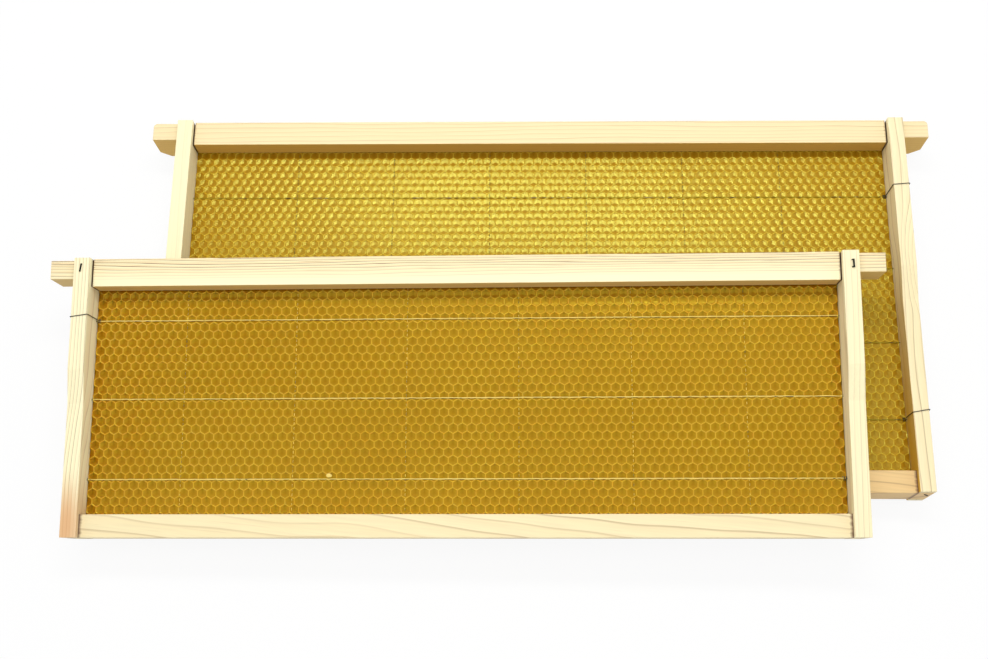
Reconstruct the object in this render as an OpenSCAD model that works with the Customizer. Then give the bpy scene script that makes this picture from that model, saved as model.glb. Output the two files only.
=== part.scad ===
// A pair of wired wooden hive frames, each with a beeswax sheet: a deep frame that lies flat,
// and a medium frame that lies across it on three points.
// A frame is drawn in its own axes: X across, Y up from -height to 0 at its top edge, Z to its front.

/* [Both frames] */
// Width of a frame over the outsides of its side bars
frame_w = 449; // [425:1:460]
// Length of a lug, from a side bar's outside to the top bar's end
lug_l = 16.5; // [12:0.5:22]
// Depth of a top bar from front to back
top_bar_d = 27; // [25:0.5:31]
// Depth of the neck that a side bar's fork holds
neck_d = 19; // [15:0.5:19.5]
// Height of a lug
lug_h = 11; // [8:0.5:13]
// Height by which the neck stands below the lug beside it, so that the frame hangs on its lugs alone
neck_step = 0.5; // [0.2:0.1:1]
// Thickness of a side bar
side_bar_t = 9.3; // [8:0.1:14]
// Depth of a side bar's wide upper part, which spaces the frames in a hive
shoulder_d = 35; // [33:0.5:38]
// Depth of a side bar's narrow lower part
side_bar_d = 28.5; // [26:0.5:31]
// Height of the slope between the wide part and the narrow part
slope_h = 20; // [10:1:30]
// Height of a bottom bar
bottom_bar_h = 13; // [10:0.5:18]
// Depth of a bottom bar
bottom_bar_d = 20; // [16:0.5:22]
// Width of the groove under a top bar
groove_w = 3.2; // [2.6:0.1:5]
// Height of the groove under a top bar
groove_h = 6; // [5:0.5:8]
// Gap between the end of a top bar's body and the side bar beside it
shoulder_gap = 0.8; // [0.2:0.1:1.5]
// Clearance on each side of a neck in its upper fork
fork_gap = 0.1; // [0.05:0.05:0.3]
// Clearance on each side of a bottom bar in the lower forks
foot_gap = 0.8; // [0.1:0.1:1]

/* [Deep frame] */
// Height of the deep frame
deep_h = 232; // [210:1:260]
// Height of its top bar
deep_top_bar_h = 15.2; // [14:0.1:20]
// Height of the wide part of its side bars
deep_shoulder_h = 97; // [80:1:110]
// Distance of its first wire below the top edge
deep_wire_top = 46; // [35:1:55]
// Distance of its last wire above the bottom edge
deep_wire_bottom = 45; // [35:1:55]
// Number of runs of its wire from side to side
deep_wire_runs = 4; // [2:1:6]
// Rise of the wire's upper and lower tied ends across the front of the side bar
deep_upper_tie_rise = 0.8; // [-2:0.1:2]
deep_lower_tie_rise = 1.8; // [-2:0.1:2]
// Distance between the upright wires in its sheet
deep_upright_pitch = 60; // [50:1:66]
// Depth of its lugs from front to back
deep_lug_d = 24; // [20:0.5:27]
// Chamfer on the back corners of its lugs
lug_chamfer = 6; // [2:0.5:8]
// Radius on the upper end of its lugs
lug_radius = 2.5; // [1:0.5:5]

/* [Medium frame] */
// Height of the medium frame
medium_h = 160; // [140:1:175]
// Height of its top bar
medium_top_bar_h = 16.4; // [14:0.1:20]
// Depth of its lugs from front to back
medium_lug_d = 20; // [20:0.5:27]
// Height of the wide part of its side bars
medium_shoulder_h = 65; // [45:1:75]
// Distance of its first wire below the top edge
medium_wire_top = 34.5; // [28:0.5:45]
// Distance of its last wire above the bottom edge
medium_wire_bottom = 33; // [28:0.5:45]
// Number of runs of its wire from side to side
medium_wire_runs = 3; // [1:1:5]
// Rise of the wire's upper tied end across the front of the side bar
medium_upper_tie_rise = -1.4; // [-2:0.1:2]
// Distance between the upright wires in its sheet
medium_upright_pitch = 64.5; // [50:0.5:66]

/* [Wax sheets and wires] */
// Thickness of a wax sheet
sheet_t = 1.6; // [1.2:0.1:2.2]
// Gap between a wax sheet and each side bar
sheet_side_gap = 0.3; // [0.2:0.1:3]
// Length of the sheet's upper edge that stands in the top bar's groove
sheet_tuck = 4; // [2:0.5:4.5]
// Diameter of the laced frame wire
wire_d = 0.5; // [0.4:0.05:0.8]
// Height of the laced wire above the face of the wax that it is melted into
wire_proud = 0.15; // [0.1:0.05:0.3]
// Diameter of the wire holes in the side bars
wire_hole_d = 2; // [1.6:0.1:3]
// Gap between the wire and the wood that it runs over
wire_gap = 0.15; // [0.1:0.05:0.3]
// Turns of a tied wire end round its own run
tie_turns = 2; // [1:1:4]
// Gap between a tied end and the wire inside it, and between its turns
tie_gap = 0.5; // [0.45:0.05:0.8]
// Number of upright wires in a wax sheet
upright_n = 6; // [2:1:6]
// Diameter of the upright wires
upright_d = 0.4; // [0.3:0.05:0.6]
// Distance between an upright wire's ends and the sheet's edges
upright_inset = 1; // [0.5:0.5:3]

/* [Staples] */
// Length of a staple's crown
staple_crown = 4.8; // [4:0.1:6]
// Width of the staple's flat wire
staple_w = 0.8; // [0.7:0.1:1.2]
// Thickness of the staple's flat wire
staple_t = 0.6; // [0.5:0.1:0.9]
// Length of the legs of the staples in the forks
fork_leg = 14; // [10:1:18]
// Length of the legs of the staples in the bottom bars
bottom_leg = 22; // [18:1:28]
// Distance of the bottom staples outward from the middle of their side bars, and forward
bottom_staple_out = 1.4; // [0:0.1:1.8]
bottom_staple_forward = 4; // [0:0.5:6]
// Turn of their crowns from the length of the bottom bar, in degrees
bottom_staple_turn = 55; // [0:5:90]
// Height of the crowns under the deep frame above the wood
deep_crown_proud = 0.3; // [0.1:0.1:0.6]
// Height of the crowns under the medium frame above the wood
medium_crown_proud = 0.1; // [0.1:0.1:0.6]
// Distance of the fork staples outward from the middle of their side bars
fork_staple_out = 0.6; // [0:0.1:1.5]
// Distance of the left fork staple below the top edge
left_staple_down = 6; // [4:0.1:8]
// Height of its crown above the wood
left_staple_proud = 0.6; // [0.1:0.1:1]
// Lean of its crown, in degrees
left_staple_lean = -9; // [-20:1:20]
// Distance of the right fork staple below the top edge
right_staple_down = 7.9; // [4:0.1:8]
// Height of its crown above the wood
right_staple_proud = 1.5; // [0.1:0.1:2]
// Lean of its crown, in degrees
right_staple_lean = 2; // [-20:1:20]
// Tilt of the whole right fork staple outward, in degrees
right_staple_tilt = 28; // [0:1:32]

/* [How the pair lies] */
// Distance of the medium frame's lower left corner to the left of the deep frame's side
corner_out = 43; // [30:0.5:60]
// Distance of that corner past the deep frame's bottom edge
corner_past = 26; // [20:0.5:35]
// Gap left at each point where the medium frame rests
rest_gap = 0.3; // [0.1:0.05:0.5]

/* [Hidden] */
$fn = 48;
pine = [0.94, 0.85, 0.66];
wax = [0.82, 0.64, 0.14];
steel = [0.45, 0.44, 0.42];
left = -1;
right = 1;
front = 1;
back = -1;
// Length by which a cutting shape passes the face that it opens
over = 1;
// Sides of a wire, points in the bend of a wire, length of a bend, and rings in one turn of a tied end
wire_sides = 6;
bend_steps = 4;
bend = 0.6;
turn_rings = 16;
// Rounds of trial and correction that settle the medium frame on its three points
settle_rounds = 8;

// Planes that several pieces share
inner_x = frame_w / 2 - side_bar_t;
outer_x = frame_w / 2;
top_bar_l = frame_w + 2 * lug_l;
neck_h = lug_h + neck_step;
// Ends of a top bar's body and inner ends of its lugs, each a gap away from the side bar
body_x = inner_x - shoulder_gap;
lug_x = outer_x + shoulder_gap;
wire_z = sheet_t / 2 + wire_proud - wire_d / 2;
// Distance of a wire's centre from the wood that it runs over
off = wire_d / 2 + wire_gap;
tie_r = wire_d + tie_gap;

// The deep frame lies on the lower edges of its shoulders and on its bottom ends
deep_lean = atan((shoulder_d - side_bar_d) / 2 / (deep_h - deep_shoulder_h));
deep_rise = deep_shoulder_h * sin(deep_lean) + shoulder_d / 2 * cos(deep_lean);
function laid(p) = [
    p.x,
    p.y * cos(deep_lean) - p.z * sin(deep_lean),
    p.y * sin(deep_lean) + p.z * cos(deep_lean) + deep_rise];

// Height above the table of the deep side bars' front, as pairs for lookup
deep_front = [
    for (p = [
        [0, -deep_h, side_bar_d / 2],
        [0, -deep_shoulder_h - slope_h, side_bar_d / 2],
        [0, -deep_shoulder_h, shoulder_d / 2],
        [0, 0, shoulder_d / 2]]) [laid(p).y, laid(p).z]];

// Where the medium frame's lower left back corner is, seen from above
corner = [-outer_x - corner_out, laid([0, -deep_h, 0]).y - corner_past];

// Its normal, settled so that its wax sheet on the end of the deep left side bar, its right side bar
// on the deep bottom bar and its top bar on the deep left side bar all bear at once
medium_normal = settle([0, 0, 1], settle_rounds);
medium_axes = axes_of(medium_normal);
medium_origin = over_corner(medium_normal) + outer_x * medium_axes[0] + medium_h * medium_axes[1];

function unit(v) = v / norm(v);
function axes_of(n) = let (x = unit([n.z, 0, -n.x])) [x, cross(n, x), n];

// Half the depth of a side bar at a distance down from the top edge
function half_d(down, shoulder_h) = lookup(down, [
    [shoulder_h, shoulder_d / 2],
    [shoulder_h + slope_h, side_bar_d / 2]]);

// Middle plane's point over the end of the deep left side bar
function over_bar_end(n) = laid([-outer_x, -deep_h, side_bar_d / 2]) + [0, 0, rest_gap] + sheet_t / 2 * n;

// Middle plane's point over the medium frame's own lower left back corner
function over_corner(n) = let (
    rest = over_bar_end(n),
    x = corner.x + side_bar_d / 2 * n.x,
    y = corner.y + side_bar_d / 2 * n.y)
    [x, y, rest.z - (n.x * (x - rest.x) + n.y * (y - rest.y)) / n.z];

// Middle plane's point over the deep bottom bar, where the medium's right side bar crosses it
function over_bottom_bar(n) = let (
    a = axes_of(n),
    x = corner.x + (frame_w - side_bar_t) * a[0].x,
    edge = laid([x, -deep_h, bottom_bar_d / 2]),
    top_edge = laid([x, bottom_bar_h - deep_h, bottom_bar_d / 2]),
    down = medium_h - (top_edge.y - corner.y) / a[1].y)
    edge + [0, 0, rest_gap] + half_d(down, medium_shoulder_h) * n;

// Middle plane's points over the deep left side bar: under the top bar's two back edges,
// and over each corner of the side bar's front that lies between them
function over_side_bar(n) = let (
    a = axes_of(n),
    recess = (side_bar_d - top_bar_d) / 2 * n.y,
    high = corner.y + medium_h * a[1].y + recess,
    low = high - medium_top_bar_h * a[1].y)
    [for (y = concat([low, high], [for (p = deep_front) if (p[0] > low && p[0] < high) p[0]]))
        [-outer_x, y, lookup(y, deep_front) + rest_gap] + top_bar_d / 2 * n];

// Normal of the plane over the three rests, by the rest on the side bar that tips it most
function settle(n, rounds) = rounds < 1 ? n : let (
    c = over_bar_end(n),
    tips = [for (p = over_side_bar(n)) unit(cross(over_bottom_bar(n) - c, p - c))],
    most = min([for (t = tips) t.y]))
    settle([for (t = tips) if (t.y == most) t][0], rounds - 1);

// The origin is under the middle of the pair, on the table
pair_right = top_bar_l / 2;
pair_left = medium_origin.x - top_bar_l / 2 * medium_axes[0].x + top_bar_d / 2 * medium_normal.x;
pair_back = laid([0, 0, -shoulder_d / 2]).y;
pair_front = medium_origin.y - medium_h * medium_axes[1].y + side_bar_d / 2 * medium_normal.y;
middle = [(pair_right + pair_left) / 2, (pair_back + pair_front) / 2, 0];

module deep_place() {
    translate([0, 0, deep_rise] - middle) rotate([deep_lean, 0, 0]) children();
}

module medium_place() {
    a = medium_axes;
    o = medium_origin - middle;
    multmatrix([for (i = [0:2]) [a[0][i], a[1][i], a[2][i], o[i]]]) children();
}

// A shape in X and Z, drawn down from the height y over a height h
module down_from(y, h) {
    translate([0, y, 0]) rotate([90, 0, 0]) linear_extrude(h) children();
}

// Outline of a top bar's upper layer from above, for its right half
function top_bar_half(lug_d, chamfer) = let (
    d = top_bar_d / 2,
    n = neck_d / 2,
    l = lug_d / 2,
    tip = top_bar_l / 2)
    concat(
        [[body_x, d], [body_x, n], [lug_x, n], [lug_x, l], [tip, l]],
        chamfer > 0 ? [[tip, chamfer - l], [tip - chamfer, -l]] : [[tip, -l]],
        [[lug_x, -l], [lug_x, -n], [body_x, -n], [body_x, -d]]);

// Top bar: grooved body, a neck for each fork, and a lug at each end
module top_bar(h, lug_d, chamfer, radius) {
    half = top_bar_half(lug_d, chamfer);
    difference() {
        union() {
            down_from(0, lug_h)
                polygon(concat(half, [for (i = [len(half) - 1:-1:0]) [-half[i].x, half[i].y]]));
            down_from(-lug_h, neck_step) square([2 * lug_x, neck_d], center = true);
            down_from(-lug_h, h - lug_h) square([2 * body_x, top_bar_d], center = true);
        }
        translate([-body_x - over, -h - over, -groove_w / 2])
            cube([2 * (body_x + over), groove_h + over, groove_w]);
        if (radius > 0)
            for (side = [left, right])
                translate([side * (top_bar_l / 2 - radius), -radius, 0]) lug_rounding(side, radius);
    }
}

// What a rounded upper end takes off a lug
module lug_rounding(side, radius) {
    depth = top_bar_d + 2 * over;
    difference() {
        translate([side > 0 ? 0 : -radius - over, 0, -depth / 2]) cube([radius + over, radius + over, depth]);
        cylinder(h = depth + over, r = radius, center = true);
    }
}

// Side bar: a fork for the neck above, wide shoulders, and a fork for the bottom bar below
module side_bar(side, h, shoulder_h, wire_downs) {
    wide = shoulder_d / 2;
    narrow = side_bar_d / 2;
    neck = neck_d / 2 + fork_gap;
    foot = bottom_bar_d / 2 + foot_gap;
    x = side > 0 ? inner_x : -outer_x;
    difference() {
        translate([x, 0, 0]) rotate([0, 90, 0]) linear_extrude(side_bar_t) polygon([
            [-wide, 0], [-neck, 0], [-neck, -neck_h], [neck, -neck_h], [neck, 0], [wide, 0],
            [wide, -shoulder_h], [narrow, -shoulder_h - slope_h], [narrow, -h],
            [foot, -h], [foot, bottom_bar_h - h], [-foot, bottom_bar_h - h], [-foot, -h],
            [-narrow, -h], [-narrow, -shoulder_h - slope_h], [-wide, -shoulder_h]]);
        for (down = wire_downs)
            translate([x - over, -down, wire_z]) rotate([0, 90, 0])
                cylinder(h = side_bar_t + 2 * over, d = wire_hole_d);
    }
}

// Bottom bar: a plain bar through the lower forks, level with the side bars' outsides and ends
module bottom_bar(h) {
    translate([-outer_x, -h, -bottom_bar_d / 2]) cube([frame_w, bottom_bar_h, bottom_bar_d]);
}

// Wax sheet: stands on the bottom bar, with its upper edge in the top bar's groove
module wax_sheet(h, top_h) {
    w = 2 * (inner_x - sheet_side_gap);
    translate([-w / 2, bottom_bar_h - h, -sheet_t / 2])
        cube([w, h - bottom_bar_h - top_h + sheet_tuck, sheet_t]);
}

// Upright wires, cast in the middle of the wax sheet
module upright_wires(h, top_h, pitch) {
    low = bottom_bar_h - h + upright_inset;
    high = sheet_tuck - top_h - upright_inset;
    for (i = [0:upright_n - 1])
        translate([(i - (upright_n - 1) / 2) * pitch, low, 0]) rotate([-90, 0, 0])
            cylinder(h = high - low, d = upright_d);
}

// Distances of the wire's runs below a frame's top edge
function run_downs(h, first, last, runs) =
    [for (i = [0:runs - 1]) first + (runs > 1 ? (h - first - last) * i / (runs - 1) : 0)];

// Points of a tied end: turns round its own run, from the loose end to the side bar
function tie_coil(side, y, face) = [
    for (i = [0:tie_turns * turn_rings])
        let (turns_left = tie_turns - i / turn_rings)
        [side * (inner_x - off - (wire_d + tie_gap) * turns_left),
            y + tie_r * cos(360 * turns_left),
            wire_z - face * tie_r * sin(360 * turns_left)]];

// Corners of a tied end's way round the front or the back of a side bar
function tie_way(side, y, face, half, rise) = [
    [side * (inner_x - off), y + tie_r, face * (half + off)],
    [side * (outer_x + off), y + tie_r + rise, face * (half + off)]];

// A polyline with a short curve in place of each inner corner
function bent(p) = concat(
    [p[0]],
    [for (i = [1:len(p) - 2])
        let (a = p[i] + bend * unit(p[i - 1] - p[i]), b = p[i] + bend * unit(p[i + 1] - p[i]))
        for (k = [0:bend_steps])
            let (s = k / bend_steps) (1 - s) * (1 - s) * a + 2 * s * (1 - s) * p[i] + s * s * b],
    [p[len(p) - 1]]);

function reversed(p) = [for (i = [len(p) - 1:-1:0]) p[i]];
function last_of(p) = p[len(p) - 1];
function all_but_last(p) = [for (i = [0:len(p) - 2]) p[i]];

// Route of the laced wire: a tied end, the runs from side to side, and the other tied end
function lacing(downs, start, end_face, shoulder_h, first_rise, last_rise) = let (
    runs = len(downs),
    end = runs % 2 == 0 ? start : -start,
    first_coil = tie_coil(start, -downs[0], front),
    last_coil = tie_coil(end, -last_of(downs), end_face),
    first_way = tie_way(start, -downs[0], front, half_d(downs[0], shoulder_h), first_rise),
    last_way = tie_way(end, -last_of(downs), end_face, half_d(last_of(downs), shoulder_h), last_rise),
    way = [for (i = [0:runs - 1])
        let (side = i % 2 == 0 ? start : -start)
        for (s = [side, -side]) [s * (outer_x + off), -downs[i], wire_z]])
    concat(
        all_but_last(first_coil),
        bent(concat([last_of(first_coil)], first_way, way, reversed(last_way), [last_of(last_coil)])),
        reversed(all_but_last(last_coil)));

// Directions along a path, and side vectors that follow it without a twist
function directions(p) = [
    for (i = [0:len(p) - 1]) unit(p[min(i + 1, len(p) - 1)] - p[max(i - 1, 0)])];
function carried(t, u, i = 0) = i == len(t) ? [] :
    let (v = unit(u - (u * t[i]) * t[i])) concat([v], carried(t, v, i + 1));

// A round wire along a path
module wire_along(path, d) {
    n = wire_sides;
    t = directions(path);
    u = carried(t, cross(t[0], [1, 1, 1]));
    rings = len(path);
    points = [
        for (i = [0:rings - 1])
            for (k = [0:n - 1])
                path[i] + d / 2 * (cos(360 * k / n) * u[i] + sin(360 * k / n) * cross(t[i], u[i]))];
    sides = [
        for (i = [0:rings - 2])
            for (k = [0:n - 1])
                let (a = i * n + k, b = i * n + (k + 1) % n)
                for (face = [[a, a + n, b], [b, a + n, b + n]]) face];
    ends = [
        for (k = [1:n - 2])
            for (face = [[0, k, k + 1], [rings * n - n, rings * n - n + k + 1, rings * n - n + k]]) face];
    polyhedron(points, concat(sides, ends));
}

// Least gap of a tied end to the wire inside it and to its own next turn
function coil_gap(coil, y) = min(concat(
    [for (p = coil) norm([p.y - y, p.z - wire_z]) - wire_d],
    [for (i = [0:len(coil) - 1 - turn_rings]) norm(coil[i + turn_rings] - coil[i]) - wire_d]));
echo(least_tie_gap = coil_gap(tie_coil(right, 0, front), 0));

// Staple with its crown along Y, proud of the wood's face at Z = 0, and its legs down into the wood
module staple(leg, proud) {
    translate([-staple_w / 2, -staple_crown / 2, proud - staple_t])
        cube([staple_w, staple_crown, staple_t]);
    for (s = [-1, 1])
        translate([-staple_w / 2, s * (staple_crown - staple_t) / 2 - staple_t / 2, proud - leg])
            cube([staple_w, staple_t, leg]);
}

// One staple through the front of an upper fork into the neck
module fork_staple(side, down, proud, lean, tilt) {
    translate([side * ((inner_x + outer_x) / 2 + fork_staple_out), -down, shoulder_d / 2])
        rotate([0, tilt, lean]) staple(fork_leg, proud);
}

// The left fork's staple is driven straight, and the right fork's is driven askew and not fully home
module fork_staples() {
    fork_staple(left, left_staple_down, left_staple_proud, left_staple_lean, 0);
    fork_staple(right, right_staple_down, right_staple_proud, right_staple_lean, right_staple_tilt);
}

// One staple from below through each end of a bottom bar into the side bar above it
module bottom_staples(h, proud) {
    for (side = [left, right])
        translate([side * ((inner_x + outer_x) / 2 + bottom_staple_out), -h, bottom_staple_forward])
            rotate([90, 0, 0]) rotate([0, 0, 90 - bottom_staple_turn]) staple(bottom_leg, proud);
}

deep_downs = run_downs(deep_h, deep_wire_top, deep_wire_bottom, deep_wire_runs);
medium_downs = run_downs(medium_h, medium_wire_top, medium_wire_bottom, medium_wire_runs);

module deep_top_bar() {
    color(pine) deep_place() top_bar(deep_top_bar_h, deep_lug_d, lug_chamfer, lug_radius);
}

module deep_left_side_bar() {
    color(pine) deep_place() side_bar(left, deep_h, deep_shoulder_h, deep_downs);
}

module deep_right_side_bar() {
    color(pine) deep_place() side_bar(right, deep_h, deep_shoulder_h, deep_downs);
}

module deep_bottom_bar() {
    color(pine) deep_place() bottom_bar(deep_h);
}

module deep_wax_sheet() {
    color(wax) deep_place() wax_sheet(deep_h, deep_top_bar_h);
}

module deep_upright_wires() {
    color(steel) deep_place() upright_wires(deep_h, deep_top_bar_h, deep_upright_pitch);
}

module deep_frame_wire() {
    way = lacing(
        deep_downs, right, front, deep_shoulder_h, deep_upper_tie_rise, deep_lower_tie_rise);
    color(steel) deep_place() wire_along(way, wire_d);
}

module deep_bottom_staples() {
    color(steel) deep_place() bottom_staples(deep_h, deep_crown_proud);
}

module medium_top_bar() {
    color(pine) medium_place() top_bar(medium_top_bar_h, medium_lug_d, 0, 0);
}

module medium_left_side_bar() {
    color(pine) medium_place() side_bar(left, medium_h, medium_shoulder_h, medium_downs);
}

module medium_right_side_bar() {
    color(pine) medium_place() side_bar(right, medium_h, medium_shoulder_h, medium_downs);
}

module medium_bottom_bar() {
    color(pine) medium_place() bottom_bar(medium_h);
}

module medium_wax_sheet() {
    color(wax) medium_place() wax_sheet(medium_h, medium_top_bar_h);
}

module medium_upright_wires() {
    color(steel) medium_place() upright_wires(medium_h, medium_top_bar_h, medium_upright_pitch);
}

module medium_frame_wire() {
    way = lacing(medium_downs, left, back, medium_shoulder_h, medium_upper_tie_rise, 0);
    color(steel) medium_place() wire_along(way, wire_d);
}

module medium_fork_staples() {
    color(steel) medium_place() fork_staples();
}

module medium_bottom_staples() {
    color(steel) medium_place() bottom_staples(medium_h, medium_crown_proud);
}

deep_top_bar();
deep_left_side_bar();
deep_right_side_bar();
deep_bottom_bar();
deep_wax_sheet();
deep_upright_wires();
deep_frame_wire();
deep_bottom_staples();
medium_top_bar();
medium_left_side_bar();
medium_right_side_bar();
medium_bottom_bar();
medium_wax_sheet();
medium_upright_wires();
medium_frame_wire();
medium_fork_staples();
medium_bottom_staples();
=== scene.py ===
import math

import bmesh
import bpy
from mathutils import Matrix, Vector, noise


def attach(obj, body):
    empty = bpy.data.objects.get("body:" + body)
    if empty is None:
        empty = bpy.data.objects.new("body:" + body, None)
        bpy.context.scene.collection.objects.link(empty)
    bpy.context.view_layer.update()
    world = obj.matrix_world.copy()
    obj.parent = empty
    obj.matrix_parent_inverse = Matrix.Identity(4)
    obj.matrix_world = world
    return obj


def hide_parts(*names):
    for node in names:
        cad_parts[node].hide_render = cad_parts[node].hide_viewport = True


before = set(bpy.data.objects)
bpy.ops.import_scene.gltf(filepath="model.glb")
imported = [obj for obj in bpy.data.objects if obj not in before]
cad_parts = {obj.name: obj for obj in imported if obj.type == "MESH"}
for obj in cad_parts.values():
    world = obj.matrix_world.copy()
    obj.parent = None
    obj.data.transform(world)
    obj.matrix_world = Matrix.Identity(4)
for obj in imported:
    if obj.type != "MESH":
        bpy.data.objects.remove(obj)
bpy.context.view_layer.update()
scene = bpy.context.scene

# Top bars: planed pine with straight grain along the bar, sawn to length, with a neck cut for each
# side bar's fork. The deep frame's bar shows even growth rings, and the medium one's gather along
# its upper edge. Every arris is eased by a light sanding.
MM = 0.001
FAR_AWAY = Vector((1000, 1000, 1000))


def sheet_place(node):
    """Place of a flat CAD sheet as a matrix, with X across, Y up and Z out of it, and its size in mm."""
    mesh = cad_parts[node].data
    normals = [face.normal.copy() for face in mesh.polygons]
    axes = [max(normals, key=lambda normal: normal[i]) for i in range(3)]
    turn = Matrix(axes).transposed()
    points = [turn.inverted() @ vertex.co for vertex in mesh.vertices]
    low = Vector([min(point[i] for point in points) for i in range(3)])
    high = Vector([max(point[i] for point in points) for i in range(3)])
    place = Matrix.Translation(turn @ ((low + high) / 2)) @ turn.to_4x4()
    return place, (high - low) / MM


def linear(code):
    """Linear colour of an sRGB hex code."""
    parts = [int(code[i : i + 2], 16) / 255 for i in (1, 3, 5)]
    return [p / 12.92 if p <= 0.04045 else ((p + 0.055) / 1.055) ** 2.4 for p in parts] + [1]


def add(tree, kind, inputs=None, **settings):
    """Adds a node to a tree, sets its properties, and sets or links its inputs."""
    node = tree.nodes.new(kind)
    for name, value in settings.items():
        setattr(node, name, value)
    for key, value in (inputs or {}).items():
        if isinstance(value, bpy.types.NodeSocket):
            tree.links.new(value, node.inputs[key])
        else:
            node.inputs[key].default_value = value
    return node


def new_material(name):
    """An empty material with its node tree."""
    material = bpy.data.materials.new(name)
    material.use_nodes = True
    material.node_tree.nodes.clear()
    return material, material.node_tree


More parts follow.
